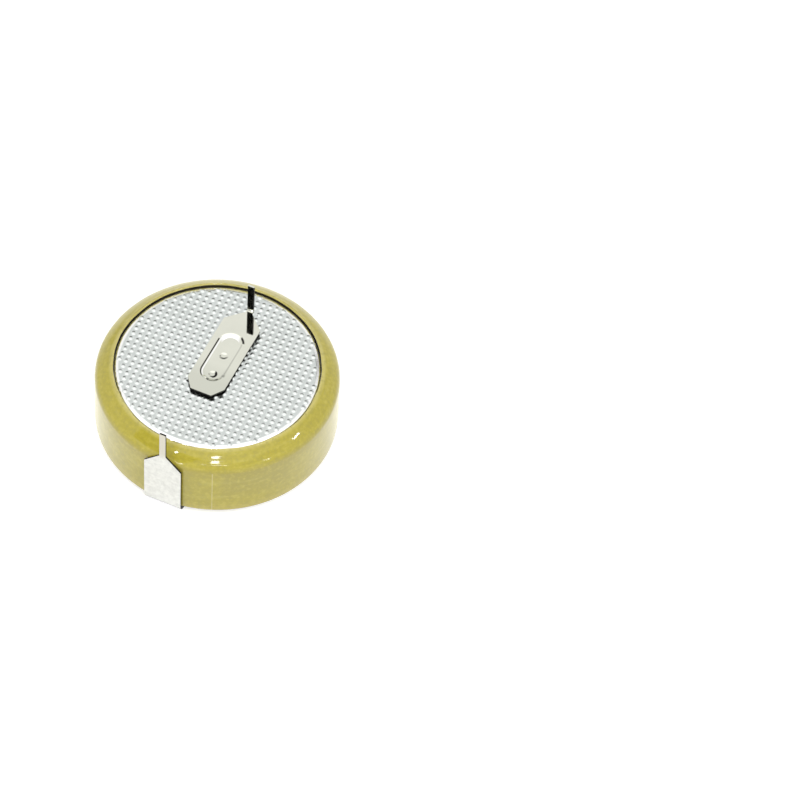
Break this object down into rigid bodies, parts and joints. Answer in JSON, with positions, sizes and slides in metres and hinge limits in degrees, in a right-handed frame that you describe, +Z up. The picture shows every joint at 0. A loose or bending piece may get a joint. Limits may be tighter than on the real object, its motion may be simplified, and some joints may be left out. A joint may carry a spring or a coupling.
{
  "type": "lithium coin cell with solder tabs",
  "caption": "Crimped lithium coin cell in a shrink sleeve, lying on its positive side, with a knurled negative face and welded tabs folded up into solder pins.",
  "frame": {"origin": "on the cell's axis, at the underside of the strip that the cell lies on", "axes": "+Z up, from the positive side to the negative face; the positive tab stands at -Y and the negative pin towards +Y"},
  "size_m": [0.0247, 0.0249, 0.0124],
  "materials": {
    "can_steel": "nickel-plated stainless steel, satin",
    "cap_steel": "nickel-plated stainless steel with a fine knurled lattice, satin",
    "gasket_plastic": "moulded polypropylene",
    "cathode_mix": "pressed manganese dioxide powder with carbon, matte",
    "ring_steel": "stainless steel",
    "separator_fabric": "non-woven polypropylene",
    "lithium_metal": "soft rolled lithium metal, dull silver",
    "sleeve_film": "olive-yellow heat-shrink film, glossy",
    "tab_nickel": "nickel-plated steel strip, satin, with a fine grain along it"
  },
  "bodies": {
    "root": {"positive_can": "can_steel", "negative_cap": "cap_steel", "gasket": "gasket_plastic", "cathode_pellet": "cathode_mix", "cathode_ring": "ring_steel", "separator": "separator_fabric", "lithium_anode": "lithium_metal", "sleeve": "sleeve_film", "positive_tab": "tab_nickel", "negative_tab": "tab_nickel"}
  },
  "joints": []
}
